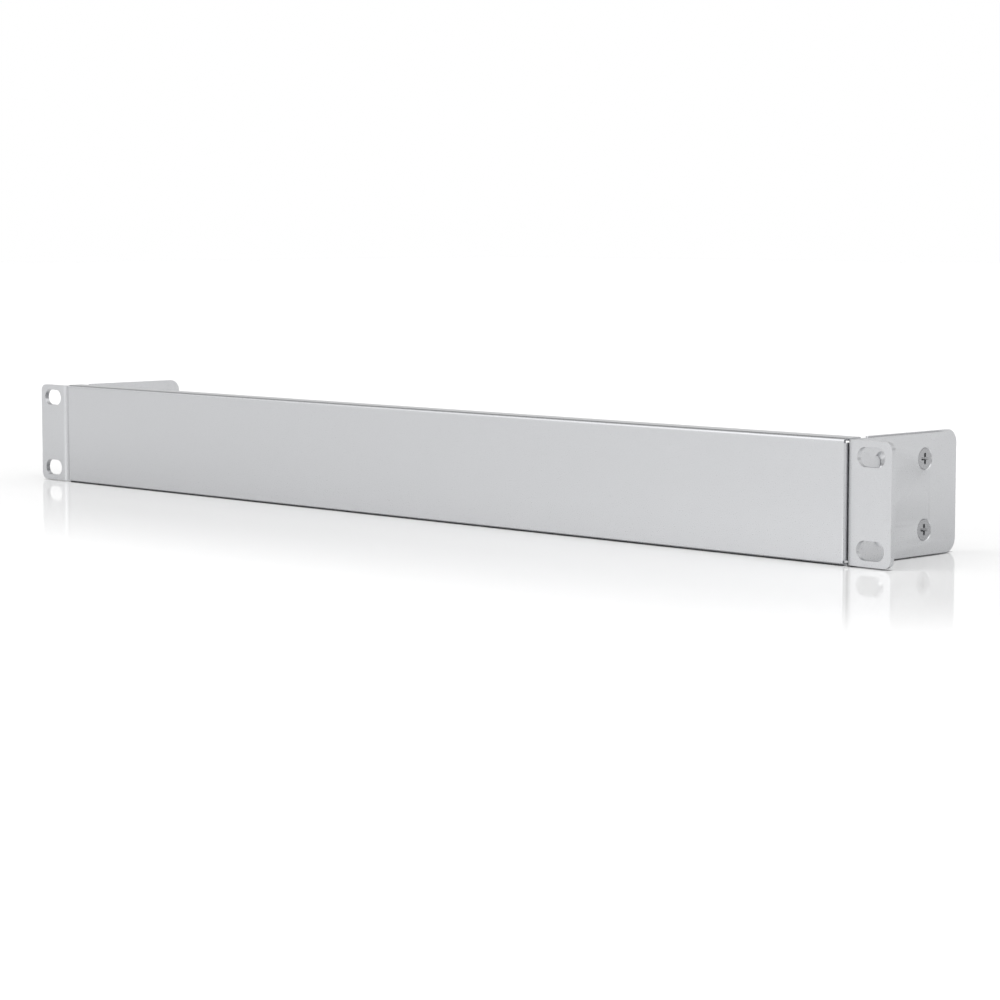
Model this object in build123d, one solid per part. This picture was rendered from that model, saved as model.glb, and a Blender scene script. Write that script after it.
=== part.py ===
from build123d import *
from math import radians, tan
import os

# A one-unit blanking panel for a 19 inch rack. The front is one sheet, folded back on all four
# sides. An L-bracket is screwed to each end of it, and the bracket's ear bolts to the rack's rail.
# X runs across the rack, Y runs back into it and Z is up. The origin is the centre of the four
# slots in the ears, on the plane where the backs of the ears seat on the rails.

# The rack's standard: the height of one unit, and the spacing from the last hole of one unit to
# the first hole of the next. The panel leaves a gap to its neighbours.
RACK_UNIT_HEIGHT = 44.45
UNIT_GAP = 0.75
UNIT_HOLE_SPACING = 12.7

# The whole panel, over the ears.
PANEL_WIDTH = 482.6

# Front pan. At its corners the bends stop short of its edges, so that two of them never meet.
PAN_SHEET = 1.0
PAN_BEND_INSIDE = 0.3
LIP_DEPTH = 8.2
LIP_BEND_SHORT = 0.7
TAB_BEND_SHORT = 1.7
NOTCH_WIDTH = 4.0
TAB_DEPTH = 63.0
TAB_CORNER = 5.0

# L-brackets: the ear is measured from the pan's side, and the bracket stands a little below the
# pan's top and above its bottom.
BRACKET_SHEET = 2.0
BRACKET_BEND_INSIDE = 1.0
BRACKET_INSET = 0.4
EAR_WIDTH = 19.65
EAR_CORNER = 3.0
LEG_DEPTH = 59.0
LEG_CORNER = 5.0

# Slots in the ears, centred this far from the ear's outer edge.
SLOT_LENGTH = 11.8
SLOT_HEIGHT = 6.8
SLOT_FROM_EDGE = 8.75

# Countersunk holes in each leg, two by two. The front pair is spare, the rear pair holds screws.
FRONT_HOLE_DEPTH = 17.25
HOLE_PITCH_BACK = 25.0
HOLE_PITCH_UP = 25.0

# Countersunk machine screws with a cross recess, whose wings taper towards its floor.
THREAD_DIAMETER = 4.0
SCREW_LENGTH = 6.0
HEAD_ANGLE = 90
HEAD_LAND = 0.15
HEAD_SUNK = 0.15
SCREW_HOLE_CLEARANCE = 0.25
RECESS_SPAN = 4.0
RECESS_WING = 1.0
RECESS_DEPTH = 1.8
RECESS_FLOOR = 1.2

# Clinch nuts, pressed into the tabs from inside.
NUT_DIAMETER = 7.9
NUT_HEIGHT = 2.0
NUT_SHANK_DIAMETER = 5.4
NUT_SHANK_SHORT = 0.03
CLINCH_CLEARANCE = 0.02
THREAD_CLEARANCE = 0.05
SEAT_CLEARANCE = 0.02

# Places that the pieces share.
FRONT = -BRACKET_SHEET
PAN_SIDE = PANEL_WIDTH / 2 - EAR_WIDTH
PAN_TOP = (RACK_UNIT_HEIGHT - UNIT_GAP) / 2
PAN_BEND_OUTSIDE = PAN_BEND_INSIDE + PAN_SHEET
TAB_INSIDE = PAN_SIDE - PAN_SHEET
LEG_FACE = PAN_SIDE + BRACKET_SHEET
BRACKET_TOP = PAN_TOP - BRACKET_INSET
SLOT_SPACING_ACROSS = PANEL_WIDTH - 2 * SLOT_FROM_EDGE
SLOT_SPACING_UP = RACK_UNIT_HEIGHT - UNIT_HOLE_SPACING
REAR_HOLE_DEPTH = FRONT_HOLE_DEPTH + HOLE_PITCH_BACK

# The head's cone is as deep as the bracket's sheet, so that it ends where the nut begins. The
# countersink is that cone carried on to the leg's outer face.
HEAD_SLOPE = tan(radians(HEAD_ANGLE / 2))
HEAD_CONE = BRACKET_SHEET + NUT_SHANK_SHORT - HEAD_SUNK - HEAD_LAND
HEAD_RADIUS = THREAD_DIAMETER / 2 + HEAD_CONE * HEAD_SLOPE
COUNTERSINK_RADIUS = HEAD_RADIUS + SEAT_CLEARANCE + (HEAD_SUNK + HEAD_LAND) * HEAD_SLOPE


def bent_sheet(outside, bend_outside, sheet):
    """Cross-section of a bent sheet: its outer line with rounded bends, thickened to its left."""
    line = FilletPolyline(*outside, radius=bend_outside)
    return make_face(offset(line, amount=sheet, side=Side.LEFT, closed=True))


def rear_rounded(piece, radius):
    """A flat plate along Y whose two rear corners are rounded."""
    corners = piece.edges().filter_by(Axis.X).group_by(Axis.Y)[-1]
    return fillet(corners, radius)


def pan_wrap():
    """The face and its two side folds, as high as the tabs' bends."""
    notch_end = FRONT + LIP_DEPTH + NOTCH_WIDTH
    outside = [(-PAN_SIDE, notch_end), (-PAN_SIDE, FRONT), (PAN_SIDE, FRONT), (PAN_SIDE, notch_end)]
    section = bent_sheet(outside, PAN_BEND_OUTSIDE, PAN_SHEET)
    return extrude(section, amount=PAN_TOP - TAB_BEND_SHORT, both=True)


def pan_rims():
    """The face's top and bottom rim with their lips, as wide as the lips' bends."""
    lip_end = FRONT + LIP_DEPTH
    outside = [(lip_end, PAN_TOP), (FRONT, PAN_TOP), (FRONT, -PAN_TOP), (lip_end, -PAN_TOP)]
    section = Plane.YZ * bent_sheet(outside, PAN_BEND_OUTSIDE, PAN_SHEET)
    channel = extrude(section, amount=PAN_SIDE - LIP_BEND_SHORT, both=True)
    between = Box(2 * PAN_SIDE, 2 * LIP_DEPTH, 2 * (PAN_TOP - TAB_BEND_SHORT))
    return channel - between


def pan_lips():
    """The flat of each lip, run out past the relieved corners to the pan's full width."""
    depth = LIP_DEPTH - PAN_BEND_OUTSIDE
    flat = Box(2 * PAN_SIDE, depth, PAN_SHEET, align=(Align.CENTER, Align.MIN, Align.MAX))
    top = Pos(0, FRONT + PAN_BEND_OUTSIDE, PAN_TOP) * flat
    return top + mirror(top, about=Plane.XY)


def pan_tab():
    """The right tab behind the notch: full height, rounded at the rear, with the nuts' holes."""
    front_edge = LIP_DEPTH + NOTCH_WIDTH
    corner = (Align.MIN, Align.MIN, Align.CENTER)
    plate = Box(PAN_SHEET, TAB_DEPTH - front_edge, 2 * PAN_TOP, align=corner)
    tab = rear_rounded(Pos(TAB_INSIDE, FRONT + front_edge, 0) * plate, TAB_CORNER)
    hole = Cylinder(NUT_SHANK_DIAMETER / 2 + CLINCH_CLEARANCE, 2 * PAN_SHEET)
    for place in fastener_places(TAB_INSIDE):
        tab -= place * hole
    return tab


def front_pan():
    """One folded sheet, open at the corners where two bends would meet."""
    tab = pan_tab()
    return pan_wrap() + pan_rims() + pan_lips() + tab + mirror(tab, about=Plane.YZ)


def hole_places(depth, x):
    """Upper and lower place at one depth from the front, on the right side, facing outwards."""
    heights = [HOLE_PITCH_UP / 2, -HOLE_PITCH_UP / 2]
    facing = {"x_dir": (0, 1, 0), "z_dir": (1, 0, 0)}
    return [Plane(origin=(x, FRONT + depth, height), **facing).location for height in heights]


def fastener_places(x):
    """The rear pair of holes, which the screws and nuts share."""
    return hole_places(REAR_HOLE_DEPTH, x)


def right_bracket():
    """Ear and leg bent from one sheet, slotted for the rail and countersunk for the screws."""
    bend = BRACKET_BEND_INSIDE + BRACKET_SHEET
    outside = [(PAN_SIDE, FRONT + LEG_DEPTH), (PAN_SIDE, FRONT), (PANEL_WIDTH / 2, FRONT)]
    section = bent_sheet(outside, bend, BRACKET_SHEET)
    bracket = extrude(section, amount=BRACKET_TOP, both=True)
    bracket = rear_rounded(bracket, LEG_CORNER)
    ear_corners = bracket.edges().filter_by(Axis.Y).group_by(Axis.X)[-1]
    bracket = fillet(ear_corners, EAR_CORNER)

    outline = Plane.XZ * SlotOverall(SLOT_LENGTH, SLOT_HEIGHT)
    slot = extrude(outline, amount=2 * BRACKET_SHEET, both=True)
    for height in [SLOT_SPACING_UP / 2, -SLOT_SPACING_UP / 2]:
        bracket -= Pos(SLOT_SPACING_ACROSS / 2, 0, height) * slot

    hole = CounterSinkHole(
        radius=THREAD_DIAMETER / 2 + SCREW_HOLE_CLEARANCE,
        counter_sink_radius=COUNTERSINK_RADIUS,
        depth=2 * BRACKET_SHEET,
        counter_sink_angle=HEAD_ANGLE,
    )
    for place in hole_places(FRONT_HOLE_DEPTH, LEG_FACE) + fastener_places(LEG_FACE):
        bracket -= place * hole
    return bracket


def screw():
    """Countersunk screw, head up with its flat top at the origin."""
    thread = THREAD_DIAMETER / 2
    profile = [
        (0, 0),
        (HEAD_RADIUS, 0),
        (HEAD_RADIUS, -HEAD_LAND),
        (thread, -HEAD_LAND - HEAD_CONE),
        (thread, -SCREW_LENGTH),
        (0, -SCREW_LENGTH),
    ]
    body = revolve(make_face(Plane.XZ * Polyline(*profile, close=True)), axis=Axis.Z)
    return body - cross_recess()


def cross_recess():
    """Two crossed wings, each narrowing from its span at the head's top to the recess's floor."""
    side = Polyline(
        (-RECESS_SPAN / 2, 0),
        (RECESS_SPAN / 2, 0),
        (RECESS_FLOOR / 2, -RECESS_DEPTH),
        (-RECESS_FLOOR / 2, -RECESS_DEPTH),
        close=True,
    )
    wing = extrude(make_face(Plane.XZ * side), amount=RECESS_WING / 2, both=True)
    return wing + Rot(0, 0, 90) * wing


def clinch_nut():
    """Round nut on the inside of the sheet, with the shank that is pressed into the tab's hole."""
    outside = NUT_DIAMETER / 2
    shank = NUT_SHANK_DIAMETER / 2
    bore = THREAD_DIAMETER / 2 + THREAD_CLEARANCE
    shank_end = PAN_SHEET - NUT_SHANK_SHORT
    profile = [
        (bore, shank_end),
        (shank, shank_end),
        (shank, 0),
        (outside, 0),
        (outside, -NUT_HEIGHT),
        (bore, -NUT_HEIGHT),
    ]
    return revolve(make_face(Plane.XZ * Polyline(*profile, close=True)), axis=Axis.Z)


def panel_pieces():
    """Every piece of the panel by name, each pair of sides mirrored."""
    right = {"bracket": right_bracket()}
    heights = ["top", "bottom"]
    for height, head_place, nut_place in zip(
        heights, fastener_places(LEG_FACE - HEAD_SUNK), fastener_places(TAB_INSIDE)
    ):
        right["screw_" + height] = head_place * screw()
        right["clinch_nut_" + height] = nut_place * clinch_nut()

    pieces = {"front_pan": front_pan()}
    for name, piece in right.items():
        pieces["right_" + name] = piece
        pieces["left_" + name] = mirror(piece, about=Plane.YZ)
    return pieces


os.makedirs("parts", exist_ok=True)
for node, solid in panel_pieces().items():
    export_step(solid, "parts/" + node + ".step")
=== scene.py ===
import bmesh
import bpy
from math import cos, pi, radians, sin
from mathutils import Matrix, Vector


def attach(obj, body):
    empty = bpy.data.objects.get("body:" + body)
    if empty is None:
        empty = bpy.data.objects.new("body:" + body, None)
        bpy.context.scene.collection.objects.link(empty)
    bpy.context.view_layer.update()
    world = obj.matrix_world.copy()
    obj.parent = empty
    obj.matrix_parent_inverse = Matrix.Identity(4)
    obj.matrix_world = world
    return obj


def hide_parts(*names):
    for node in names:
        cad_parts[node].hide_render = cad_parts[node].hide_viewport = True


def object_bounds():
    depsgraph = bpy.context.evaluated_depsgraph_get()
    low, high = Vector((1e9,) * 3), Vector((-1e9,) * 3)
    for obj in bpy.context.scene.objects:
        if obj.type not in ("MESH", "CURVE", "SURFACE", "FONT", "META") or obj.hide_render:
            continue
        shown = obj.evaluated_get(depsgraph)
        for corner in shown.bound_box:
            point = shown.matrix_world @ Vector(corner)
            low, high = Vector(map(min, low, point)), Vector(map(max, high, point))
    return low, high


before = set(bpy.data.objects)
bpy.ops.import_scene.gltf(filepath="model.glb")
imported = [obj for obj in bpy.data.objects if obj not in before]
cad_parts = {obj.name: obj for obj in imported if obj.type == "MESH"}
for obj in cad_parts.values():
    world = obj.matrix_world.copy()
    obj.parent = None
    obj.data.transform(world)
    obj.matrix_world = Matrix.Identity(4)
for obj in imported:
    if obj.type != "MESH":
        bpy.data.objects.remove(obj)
cad_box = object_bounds()
scene = bpy.context.scene
MM = 0.001


# Camera: at the panel's right front corner and a little above it. The place is in metres from the
# centre of the rail slots, on the plane of the ears' backs. The lens is for a sensor 36 mm wide.
camera_data = bpy.data.cameras.new("camera")
camera_data.sensor_width = 36.0
camera_data.lens = 101.23
camera = bpy.data.objects.new("camera", camera_data)
camera.location = (0.81420, -0.75409, 0.09416)
camera.rotation_euler = (radians(84.387), 0, radians(45.26))
scene.collection.objects.link(camera)
scene.camera = camera


# Front pan: one sheet of 1 mm steel, folded back on all four sides on a press brake. It has a thin
# silver paint over its whole surface, which gives it an even satin sheen with a fine grain.
def linear(hex_colour):
    """An sRGB hex colour as linear red, green, blue and alpha."""
    shares = [int(hex_colour[i:i + 2], 16) / 255 for i in (0, 2, 4)]
    return [s / 12.92 if s <= 0.04045 else ((s + 0.055) / 1.055) ** 2.4 for s in shares] + [1.0]


def add_node(tree, kind, settings={}, inputs={}):
    """A node with its settings. An input is a value, or another node's output that is linked to it."""
    node = tree.nodes.new(kind)
    for name, value in settings.items():
        setattr(node, name, value)
    for name, value in inputs.items():
        if isinstance(value, bpy.types.NodeSocket):
            tree.links.new(value, node.inputs[name])
        else:
            node.inputs[name].default_value = value
    return node


def new_material(name):
    material = bpy.data.materials.new(name)
    material.use_nodes = True
    material.node_tree.nodes.clear()
    return material


# Satin silver paint: aluminium flakes in a clear binder, sprayed and baked. The flakes make the sheen
# sparkle a little and the spray leaves the surface faintly uneven. The flakes are some 0.05 mm wide
# and are drawn eight times coarser, to show at all.
PAINT_FLAKE = 0.4 * MM
PAINT_WAVE = 2.5 * MM
silver_paint = new_material("satin_silver_paint_on_steel")
tree = silver_paint.node_tree
place = add_node(tree, "ShaderNodeTexCoord").outputs["Object"]
flakes = add_node(tree, "ShaderNodeTexNoise", {}, {
    "Vector": place, "Scale": 1 / PAINT_FLAKE, "Detail": 1.0, "Roughness": 0.6}).outputs["Fac"]
waves = add_node(tree, "ShaderNodeTexNoise", {}, {
    "Vector": place, "Scale": 1 / PAINT_WAVE, "Detail": 2.0}).outputs["Fac"]
tone = add_node(tree, "ShaderNodeMix", {"data_type": "RGBA"}, {
    "Factor": flakes, "A": linear("BCBDBF"), "B": linear("CACBCD")})
sheen = add_node(tree, "ShaderNodeMapRange", {}, {
    "Value": flakes, "From Min": 0.3, "From Max": 0.7, "To Min": 0.27, "To Max": 0.34})
uneven = add_node(tree, "ShaderNodeBump", {}, {"Strength": 0.14, "Distance": 0.004 * MM, "Height": waves})
grainy = add_node(tree, "ShaderNodeBump", {}, {
    "Strength": 0.3, "Distance": 0.003 * MM, "Height": flakes, "Normal": uneven.outputs["Normal"]})
shader = add_node(tree, "ShaderNodeBsdfPrincipled", {}, {
    "Base Color": tone.outputs["Result"], "Metallic": 1.0, "Roughness": sheen.outputs["Result"],
    "Normal": grainy.outputs["Normal"]})
add_node(tree, "ShaderNodeOutputMaterial", {}, {"Surface": shader.outputs["BSDF"]})

EDGE_BREAK = 0.12 * MM
SHARP_EDGE = radians(40)
SHADED_SHARP = radians(32)
FLAT_WITHIN = radians(0.3)
SAME_CORNER = 0.0005 * MM


def deburred_copy(name, node_names, material):
    """The nodes' sheets as one mesh: flat faces merged, sharp edges broken as tumbling leaves them."""
    work = bmesh.new()
    for node_name in node_names:
        work.from_mesh(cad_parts[node_name].data)
    bmesh.ops.remove_doubles(work, verts=work.verts, dist=SAME_CORNER)
    bmesh.ops.dissolve_limit(work, angle_limit=FLAT_WITHIN, verts=work.verts, edges=work.edges)
    mesh = bpy.data.meshes.new(name)
    work.to_mesh(mesh)
    work.free()
    mesh.shade_smooth()
    mesh.set_sharp_from_angle(angle=SHADED_SHARP)
    mesh.materials.clear()
    mesh.materials.append(material)
    piece = bpy.data.objects.new(name, mesh)
    scene.collection.objects.link(piece)
    broken = piece.modifiers.new("deburring", "BEVEL")
    broken.width = EDGE_BREAK
    broken.segments = 2
    broken.limit_method = "ANGLE"
    broken.angle_limit = SHARP_EDGE
    broken.harden_normals = True
    return piece


pan = deburred_copy("folded_pan", ["front_pan"], silver_paint)
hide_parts("front_pan")
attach(pan, "root")


# Brackets: each is 2 mm steel sheet, laser cut with its slots and holes, countersunk, bent to an L
# and painted like the pan.
brackets = deburred_copy("ear_brackets", ["left_bracket", "right_bracket"], silver_paint)
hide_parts("left_bracket", "right_bracket")
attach(brackets, "root")


# Clinch nuts: turned from zinc-plated steel and pressed into the tabs' holes from inside, so that
# the flange lies on the tab and the shank fills the hole.
def new_size_tree(name, sizes):
    """A geometry tree that has one named input for each size, and the node that gives them."""
    tree = bpy.data.node_groups.new(name, "GeometryNodeTree")
    tree.interface.new_socket("Geometry", in_out="OUTPUT", socket_type="NodeSocketGeometry")
    tree.interface.new_socket("Places", in_out="INPUT", socket_type="NodeSocketGeometry")
    for size in sizes:
        tree.interface.new_socket(size, in_out="INPUT", socket_type="NodeSocketFloat")
    return tree, add_node(tree, "NodeGroupInput").outputs


def turned_surface(tree, profile, segments):
    """A surface turned about Z, with one row of vertices for each radius and height of the profile."""
    rows = len(profile)
    sheet = add_node(tree, "GeometryNodeMeshGrid", {}, {
        "Size X": 1.0, "Size Y": rows - 1.0, "Vertices X": segments + 1, "Vertices Y": rows})
    place = add_node(tree, "ShaderNodeSeparateXYZ", {}, {
        "Vector": add_node(tree, "GeometryNodeInputPosition").outputs["Position"]}).outputs
    row = add_node(tree, "ShaderNodeMath", {"operation": "ADD"}, {0: place["Y"], 1: rows / 2})
    angle = add_node(tree, "ShaderNodeMath", {"operation": "MULTIPLY"}, {0: place["X"], 1: -2 * pi})
    chosen = []
    for values in zip(*profile):
        switch = add_node(tree, "GeometryNodeIndexSwitch", {"data_type": "FLOAT"}, {
            "Index": row.outputs[0]})
        while len(switch.index_switch_items) < rows:
            switch.index_switch_items.new()
        for item, value in enumerate(values):
            if isinstance(value, bpy.types.NodeSocket):
                tree.links.new(value, switch.inputs[str(item)])
            else:
                switch.inputs[str(item)].default_value = value
        chosen.append(switch.outputs[0])
    return wrapped(tree, sheet.outputs["Mesh"], angle.outputs[0], chosen[0], chosen[1])


def wrapped(tree, mesh, angle, radius, height):
    """The mesh with each vertex moved to an angle, radius and height about Z."""
    along = []
    for function in ("COSINE", "SINE"):
        share = add_node(tree, "ShaderNodeMath", {"operation": function}, {0: angle})
        along.append(add_node(tree, "ShaderNodeMath", {"operation": "MULTIPLY"}, {
            0: share.outputs[0], 1: radius}).outputs[0])
    position = add_node(tree, "ShaderNodeCombineXYZ", {}, {"X": along[0], "Y": along[1], "Z": height})
    return add_node(tree, "GeometryNodeSetPosition", {}, {
        "Geometry": mesh, "Position": position.outputs["Vector"]}).outputs["Geometry"]


def sum_of(tree, first, second, share=1.0):
    """Output of first + second * share."""
    return add_node(tree, "ShaderNodeMath", {"operation": "MULTIPLY_ADD"}, {
        0: second, 1: share, 2: first}).outputs[0]


def stand_at_places(tree, body, places, material):
    """One body at each place, its Z turned to face away from the panel's middle."""
    side = add_node(tree, "ShaderNodeSeparateXYZ", {}, {
        "Vector": add_node(tree, "GeometryNodeInputPosition").outputs["Position"]}).outputs["X"]
    sign = add_node(tree, "ShaderNodeMath", {"operation": "SIGN"}, {0: side})
    turn = add_node(tree, "ShaderNodeMath", {"operation": "MULTIPLY"}, {0: sign.outputs[0], 1: pi / 2})
    rotation = add_node(tree, "ShaderNodeCombineXYZ", {}, {"Y": turn.outputs[0]})
    standing = add_node(tree, "GeometryNodeInstanceOnPoints", {}, {
        "Points": places, "Instance": body, "Rotation": rotation.outputs["Vector"]})
    real = add_node(tree, "GeometryNodeRealizeInstances", {}, {"Geometry": standing.outputs["Instances"]})
    finished = add_node(tree, "GeometryNodeSetMaterial", {}, {
        "Geometry": real.outputs["Geometry"], "Material": material})
    add_node(tree, "NodeGroupOutput", {}, {"Geometry": finished.outputs["Geometry"]})


def made_piece(name, places, tree, sizes):
    """The tree's bodies at their places, as one plain mesh."""
    mesh = bpy.data.meshes.new(name)
    mesh.from_pydata(places, [], [])
    piece = bpy.data.objects.new(name, mesh)
    scene.collection.objects.link(piece)
    modifier = piece.modifiers.new("bodies", "NODES")
    modifier.node_group = tree
    for socket in tree.interface.items_tree:
        if socket.name in sizes:
            modifier[socket.identifier] = sizes[socket.name]
    evaluated = piece.evaluated_get(bpy.context.evaluated_depsgraph_get())
    solid = bpy.data.meshes.new_from_object(evaluated)
    piece.modifiers.remove(modifier)
    piece.data = solid
    solid.name = name
    solid.shade_smooth()
    solid.set_sharp_from_angle(angle=SHADED_SHARP)
    return piece


# Zinc plate on steel, barrel plated and blue passivated: a greyer metal than the paint, with a soft
# gloss that is clouded by the tumbling. The clouds are about 0.6 mm across.
PLATE_CLOUD = 0.6 * MM
zinc_plate = new_material("zinc_plated_steel")
tree = zinc_plate.node_tree
clouds = add_node(tree, "ShaderNodeTexNoise", {}, {
    "Vector": add_node(tree, "ShaderNodeTexCoord").outputs["Object"], "Scale": 1 / PLATE_CLOUD,
    "Detail": 3.0}).outputs["Fac"]
tone = add_node(tree, "ShaderNodeMix", {"data_type": "RGBA"}, {
    "Factor": clouds, "A": linear("9FA0A2"), "B": linear("A9AAAC")})
gloss = add_node(tree, "ShaderNodeMapRange", {}, {
    "Value": clouds, "From Min": 0.3, "From Max": 0.7, "To Min": 0.22, "To Max": 0.34})
pitted = add_node(tree, "ShaderNodeBump", {}, {"Strength": 0.15, "Distance": 0.004 * MM, "Height": clouds})
shader = add_node(tree, "ShaderNodeBsdfPrincipled", {}, {
    "Base Color": tone.outputs["Result"], "Metallic": 1.0, "Roughness": gloss.outputs["Result"],
    "Normal": pitted.outputs["Normal"]})
add_node(tree, "ShaderNodeOutputMaterial", {}, {"Surface": shader.outputs["BSDF"]})

TAB_INSIDE = 220.65 * MM
FASTENER_Y = 40.25 * MM
FASTENER_Z = 12.5 * MM
ROUND_STEPS = 48
SEAM_GAP = 0.001 * MM

nut_sizes = {
    "Flange radius": 3.95 * MM,
    "Flange height": 2.0 * MM,
    "Shank radius": 2.7 * MM,
    "Shank height": 0.97 * MM,
    "Bore radius": 2.05 * MM,
    "Chamfer": 0.25 * MM,
}
tree, size = new_size_tree("clinch_nut", nut_sizes)
chamfer = size["Chamfer"]
flange = size["Flange radius"]
bottom = sum_of(tree, 0.0, size["Flange height"], -1.0)
nut_profile = [
    (size["Bore radius"], size["Shank height"]),
    (size["Shank radius"], size["Shank height"]),
    (size["Shank radius"], 0.0),
    (flange, 0.0),
    (flange, sum_of(tree, bottom, chamfer)),
    (sum_of(tree, flange, chamfer, -1.0), bottom),
    (sum_of(tree, size["Bore radius"], chamfer), bottom),
    (size["Bore radius"], sum_of(tree, bottom, chamfer)),
    (size["Bore radius"], size["Shank height"]),
]
nut = add_node(tree, "GeometryNodeMergeByDistance", {}, {
    "Geometry": turned_surface(tree, nut_profile, ROUND_STEPS), "Distance": SEAM_GAP})
stand_at_places(tree, nut.outputs["Geometry"], size["Places"], zinc_plate)

nut_places = [(side * TAB_INSIDE, FASTENER_Y, up * FASTENER_Z) for side in (1, -1) for up in (1, -1)]
nuts = made_piece("clinch_nuts", nut_places, tree, nut_sizes)
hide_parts("right_clinch_nut_top", "right_clinch_nut_bottom",
            "left_clinch_nut_top", "left_clinch_nut_bottom")
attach(nuts, "root")


# Screws: countersunk M4 machine screws with a cross recess, cold formed, thread rolled and zinc
# plated. Each one holds a bracket's leg to its clinch nut, with its head just under the leg's face.
HEAD_TOP = 223.5 * MM
THREAD_ROWS = 60
THREAD_FLAT = 0.06
SLIVER = 0.004 * MM
screw_sizes = {
    "Head radius": 3.73 * MM,
    "Head land": 0.15 * MM,
    "Cone depth": 1.73 * MM,
    "Thread radius": 2.0 * MM,
    "Thread root": 1.62 * MM,
    "Pitch": 0.7 * MM,
    "Length": 6.0 * MM,
    "Tip radius": 1.45 * MM,
    "Recess span": 4.0 * MM,
    "Recess wing": 1.1 * MM,
    "Recess root": 0.45 * MM,
    "Recess depth": 1.8 * MM,
    "Recess floor": 1.2 * MM,
}
tree, size = new_size_tree("countersunk_screw", screw_sizes)
under_head = sum_of(tree, size["Head land"], size["Cone depth"])
head_profile = [
    (0.0, 0.0),
    (size["Head radius"], 0.0),
    (size["Head radius"], sum_of(tree, 0.0, size["Head land"], -1.0)),
    (size["Thread radius"], sum_of(tree, 0.0, under_head, -1.0)),
]
head = turned_surface(tree, head_profile, ROUND_STEPS)

# The thread's rows run from under the head to the tip. The radius follows the depth and the angle, with
# a small flat, as a share of the pitch, on either side of the crest and of the root.
sheet = add_node(tree, "GeometryNodeMeshGrid", {}, {
    "Size X": 1.0, "Size Y": 1.0, "Vertices X": ROUND_STEPS + 1, "Vertices Y": THREAD_ROWS})
place = add_node(tree, "ShaderNodeSeparateXYZ", {}, {
    "Vector": add_node(tree, "GeometryNodeInputPosition").outputs["Position"]}).outputs
along = add_node(tree, "ShaderNodeMath", {"operation": "ADD"}, {0: place["Y"], 1: 0.5}).outputs[0]
angle = add_node(tree, "ShaderNodeMath", {"operation": "MULTIPLY"}, {0: place["X"], 1: -2 * pi})
depth = add_node(tree, "ShaderNodeMapRange", {}, {
    "Value": along, "To Min": under_head, "To Max": size["Length"]}).outputs["Result"]
pitches = add_node(tree, "ShaderNodeMath", {"operation": "DIVIDE"}, {0: depth, 1: size["Pitch"]})
turns = sum_of(tree, pitches.outputs[0], place["X"])
wave = add_node(tree, "ShaderNodeMath", {"operation": "PINGPONG"}, {0: turns, 1: 0.5})
flank = add_node(tree, "ShaderNodeMapRange", {}, {
    "Value": wave.outputs[0], "From Min": THREAD_FLAT, "From Max": 0.5 - THREAD_FLAT,
    "To Min": size["Thread root"], "To Max": size["Thread radius"]}).outputs["Result"]
past_head = sum_of(tree, depth, under_head, -1.0)
run_out = sum_of(tree, size["Thread radius"], past_head, -1.0)
rolled = add_node(tree, "ShaderNodeMath", {"operation": "MAXIMUM"}, {0: flank, 1: run_out})
to_tip = sum_of(tree, size["Length"], depth, -1.0)
pointed = sum_of(tree, size["Tip radius"], to_tip)
radius = add_node(tree, "ShaderNodeMath", {"operation": "MINIMUM"}, {0: rolled.outputs[0], 1: pointed})
height = sum_of(tree, 0.0, depth, -1.0)
thread = wrapped(tree, sheet.outputs["Mesh"], angle.outputs[0], radius.outputs[0], height)
tip_height = sum_of(tree, 0.0, size["Length"], -1.0)
tip = turned_surface(tree, [(size["Tip radius"], tip_height), (0.0, tip_height)], ROUND_STEPS)
joined = add_node(tree, "GeometryNodeJoinGeometry")
for part in (tip, thread, head):
    tree.links.new(part, joined.inputs["Geometry"])
blank = add_node(tree, "GeometryNodeMergeByDistance", {}, {
    "Geometry": joined.outputs["Geometry"], "Distance": SEAM_GAP})

# The recess is punched: two crossed wings that taper to its floor, in their span and their width. The
# second wing is a hundredth deeper, so that the two cuts never share a face.
above = 0.3 * MM
second_deeper = 1.01
wing_size = add_node(tree, "ShaderNodeCombineXYZ", {}, {
    "X": 2.0, "Y": 2.0, "Z": sum_of(tree, above, size["Recess depth"])})
block = add_node(tree, "GeometryNodeMeshCube", {}, {"Size": wing_size.outputs["Vector"]})
corner = add_node(tree, "ShaderNodeSeparateXYZ", {}, {
    "Vector": add_node(tree, "GeometryNodeInputPosition").outputs["Position"]}).outputs
lift = sum_of(tree, above / 2, size["Recess depth"], -0.5)
height = sum_of(tree, corner["Z"], lift)
across = []
for axis, at_floor, at_top in (("X", "Recess floor", "Recess span"), ("Y", "Recess root", "Recess wing")):
    half = add_node(tree, "ShaderNodeMapRange", {"clamp": False}, {
        "Value": height, "From Min": sum_of(tree, 0.0, size["Recess depth"], -1.0), "From Max": 0.0,
        "To Min": sum_of(tree, 0.0, size[at_floor], 0.5),
        "To Max": sum_of(tree, 0.0, size[at_top], 0.5)}).outputs["Result"]
    across.append(add_node(tree, "ShaderNodeMath", {"operation": "MULTIPLY"}, {
        0: corner[axis], 1: half}).outputs[0])
tapered = add_node(tree, "ShaderNodeCombineXYZ", {}, {"X": across[0], "Y": across[1], "Z": height})
wing = add_node(tree, "GeometryNodeSetPosition", {}, {
    "Geometry": block.outputs["Mesh"], "Position": tapered.outputs["Vector"]}).outputs["Geometry"]
crossed = add_node(tree, "GeometryNodeTransform", {}, {
    "Geometry": wing, "Rotation": (0, 0, pi / 2), "Scale": (1.0, 1.0, second_deeper)})
slotted = add_node(tree, "GeometryNodeMeshBoolean", {"operation": "DIFFERENCE", "solver": "MANIFOLD"}, {
    "Mesh 1": blank.outputs["Geometry"], "Mesh 2": wing})
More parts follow.
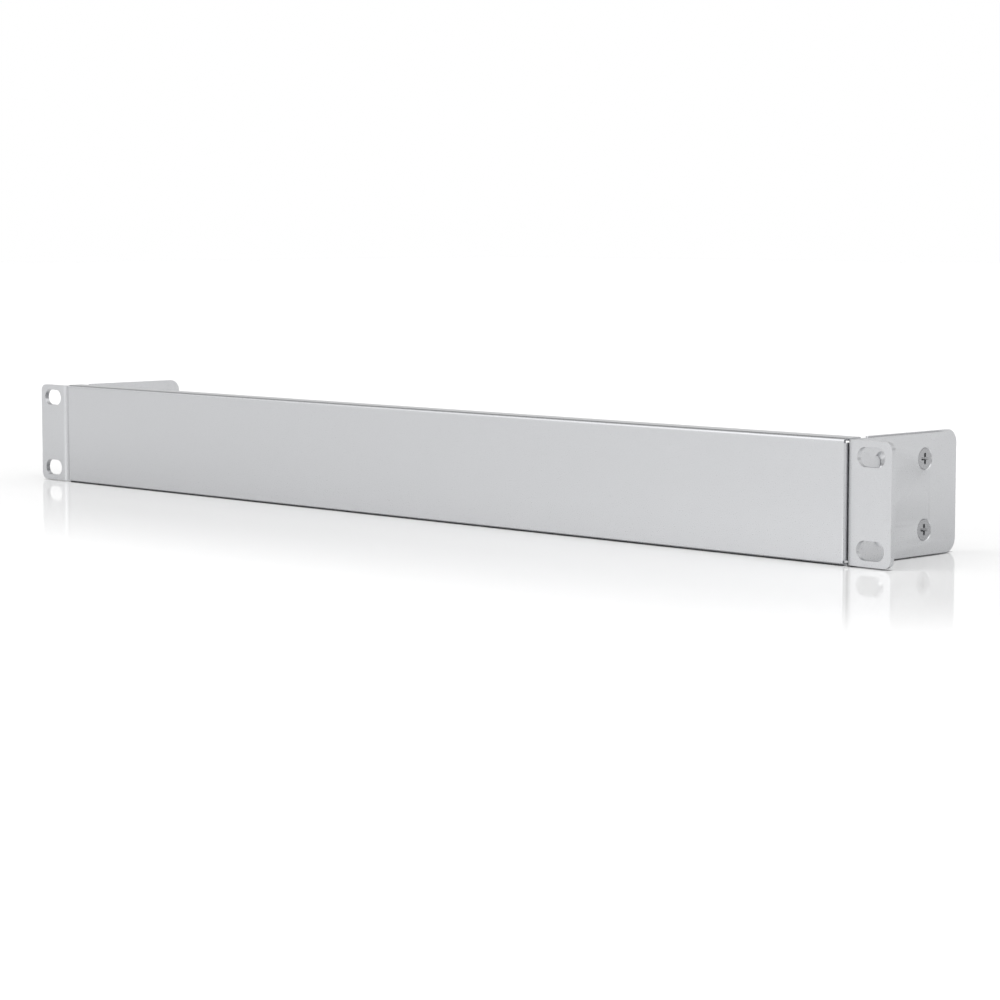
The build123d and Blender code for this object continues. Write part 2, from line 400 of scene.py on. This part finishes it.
punched = add_node(tree, "GeometryNodeMeshBoolean", {"operation": "DIFFERENCE", "solver": "MANIFOLD"}, {
    "Mesh 1": slotted.outputs["Mesh"], "Mesh 2": crossed.outputs["Geometry"]})
clean = add_node(tree, "GeometryNodeMergeByDistance", {}, {
    "Geometry": punched.outputs["Mesh"], "Distance": SLIVER})
stand_at_places(tree, clean.outputs["Geometry"], size["Places"], zinc_plate)

screw_places = [(side * HEAD_TOP, FASTENER_Y, up * FASTENER_Z) for side in (1, -1) for up in (1, -1)]
screws = made_piece("countersunk_screws", screw_places, tree, screw_sizes)
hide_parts("right_screw_top", "right_screw_bottom", "left_screw_top", "left_screw_bottom")
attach(screws, "root")


# Floor: a white sheet of board with a faint gloss, on which the panel stands on its lower edge. The
# gloss fades away from the panel. The floor's white is painted a little darker beside the panel, as painted
# shade, and the narrow gap under the bends gets a painted contact shadow, deeper than the light alone
# gives.
FLOOR_REACH = 6.0
GLOSS_FULL = 50 * MM
GLOSS_END = 190 * MM
GLOSS_SHARE = (0.36, 0.0)
# The floor's white beside the panel and away from it: the lower value beside it is painted shade.
FLOOR_WHITE_AND_PAINTED_SHADE = (0.91, 0.98)
CONTACT_SHADE = 1.3 * MM
floor_height = cad_box[0][2]
panel_middle = [(low + high) / 2 for low, high in zip(*cad_box)]
panel_half_size = [(high - low) / 2 for low, high in zip(*cad_box)]
corners = [(-1, -1), (1, -1), (1, 1), (-1, 1)]
mesh = bpy.data.meshes.new("floor")
mesh.from_pydata([(x * FLOOR_REACH, y * FLOOR_REACH, floor_height) for x, y in corners], [], [(0, 1, 2, 3)])
floor = bpy.data.objects.new("floor", mesh)
scene.collection.objects.link(floor)
paper = new_material("white_floor")
tree = paper.node_tree
place = add_node(tree, "ShaderNodeTexCoord").outputs["Object"]
from_middle = add_node(tree, "ShaderNodeVectorMath", {"operation": "SUBTRACT"}, {
    0: place, 1: (panel_middle[0], panel_middle[1], floor_height)})
either_side = add_node(tree, "ShaderNodeVectorMath", {"operation": "ABSOLUTE"}, {0: from_middle.outputs[0]})
beyond = add_node(tree, "ShaderNodeVectorMath", {"operation": "SUBTRACT"}, {
    0: either_side.outputs[0], 1: (panel_half_size[0], panel_half_size[1], 0)})
outside = add_node(tree, "ShaderNodeVectorMath", {"operation": "MAXIMUM"}, {
    0: beyond.outputs[0], 1: (0, 0, 0)})
distance = add_node(tree, "ShaderNodeVectorMath", {"operation": "LENGTH"}, {0: outside.outputs[0]})

# How glossy the floor is, and how much painted shade lowers its white, depends on the distance to the
# panel's box: each pair of values is for beside the panel and for away from it.
gloss_share, painted_shade_white = [
    add_node(tree, "ShaderNodeMapRange", {"interpolation_type": "SMOOTHSTEP"}, {
        "Value": distance.outputs["Value"], "From Min": GLOSS_FULL, "From Max": GLOSS_END,
        "To Min": beside, "To Max": away}).outputs["Result"]
    for beside, away in (GLOSS_SHARE, FLOOR_WHITE_AND_PAINTED_SHADE)]
# Painted contact shadow: the floor's white is darkened where the panel is near, most in the gaps under its
# bends.
open_sky = add_node(tree, "ShaderNodeAmbientOcclusion", {"samples": 16}, {
    "Distance": CONTACT_SHADE}).outputs["AO"]
painted_contact_shadow = add_node(tree, "ShaderNodeMath", {"operation": "POWER"}, {0: open_sky, 1: 3.0})
shade = add_node(tree, "ShaderNodeMath", {"operation": "MULTIPLY"}, {0: painted_contact_shadow.outputs[0], 1: painted_shade_white})
diffuse = add_node(tree, "ShaderNodeBsdfDiffuse", {}, {"Color": shade.outputs[0]})
gloss = add_node(tree, "ShaderNodeBsdfGlossy", {}, {"Color": linear("FFFFFF"), "Roughness": 0.05})
mixed = add_node(tree, "ShaderNodeMixShader", {}, {
    "Fac": gloss_share, 1: diffuse.outputs["BSDF"], 2: gloss.outputs["BSDF"]})
add_node(tree, "ShaderNodeOutputMaterial", {}, {"Surface": mixed.outputs["Shader"]})
floor.data.materials.append(paper)


# Light: a white tent, brightest at its foot. Softboxes shine through it at the front left, high at the
# right and from above, with a small lamp at the right and one at the left. It is darker at its
# openings: at the camera, twice at the left and, small and low, at the back right.
TENT_FOOT = 1.0
TENT_WALL = 0.78

# The foot fades into the wall between these two elevations.
FOOT_END = radians(6)
WALL_START = radians(14)

# Azimuth, elevation, half width where full and half width where it ends, in degrees, and the strength
# that it adds to the tent's own.
SOFT_LIGHTS = [
    (-111, 30, 20, 34, 1.14),
    (20, 42, 28, 41, 0.55),
    (-70, 67, 16, 30, 0.72),
    (-6, 51, 7, 14, 1.4),
    (-143, 33, 5, 14, 0.7),
    (-50, 22, 16, 21, -0.62),
    (-158, 9, 8, 17, -0.45),
    (155, 45, 16, 26, -0.42),
    (50, 11, 5, 13, -0.42),
]
world = bpy.data.worlds.new("white_tent")
scene.world = world
world.use_nodes = True
tree = world.node_tree
tree.nodes.clear()
direction = add_node(tree, "ShaderNodeTexCoord").outputs["Generated"]
height = add_node(tree, "ShaderNodeSeparateXYZ", {}, {"Vector": direction}).outputs["Z"]
strength = add_node(tree, "ShaderNodeMapRange", {"interpolation_type": "SMOOTHSTEP"}, {
    "Value": height, "From Min": sin(FOOT_END), "From Max": sin(WALL_START),
    "To Min": TENT_FOOT, "To Max": TENT_WALL}).outputs["Result"]
for azimuth, elevation, full, end, added in SOFT_LIGHTS:
    turned, raised = radians(azimuth), radians(elevation)
    towards = (cos(raised) * cos(turned), cos(raised) * sin(turned), sin(raised))
    nearness = add_node(tree, "ShaderNodeVectorMath", {"operation": "DOT_PRODUCT"}, {
        0: direction, 1: towards})
    share = add_node(tree, "ShaderNodeMapRange", {"interpolation_type": "SMOOTHSTEP"}, {
        "Value": nearness.outputs["Value"], "From Min": cos(radians(end)), "From Max": cos(radians(full))})
    strength = add_node(tree, "ShaderNodeMath", {"operation": "MULTIPLY_ADD"}, {
        0: share.outputs["Result"], 1: added, 2: strength}).outputs[0]
background = add_node(tree, "ShaderNodeBackground", {}, {
    "Color": linear("FFFFFF"), "Strength": strength})
add_node(tree, "ShaderNodeOutputWorld", {}, {"Surface": background.outputs["Background"]})
scene.view_settings.view_transform = "Standard"
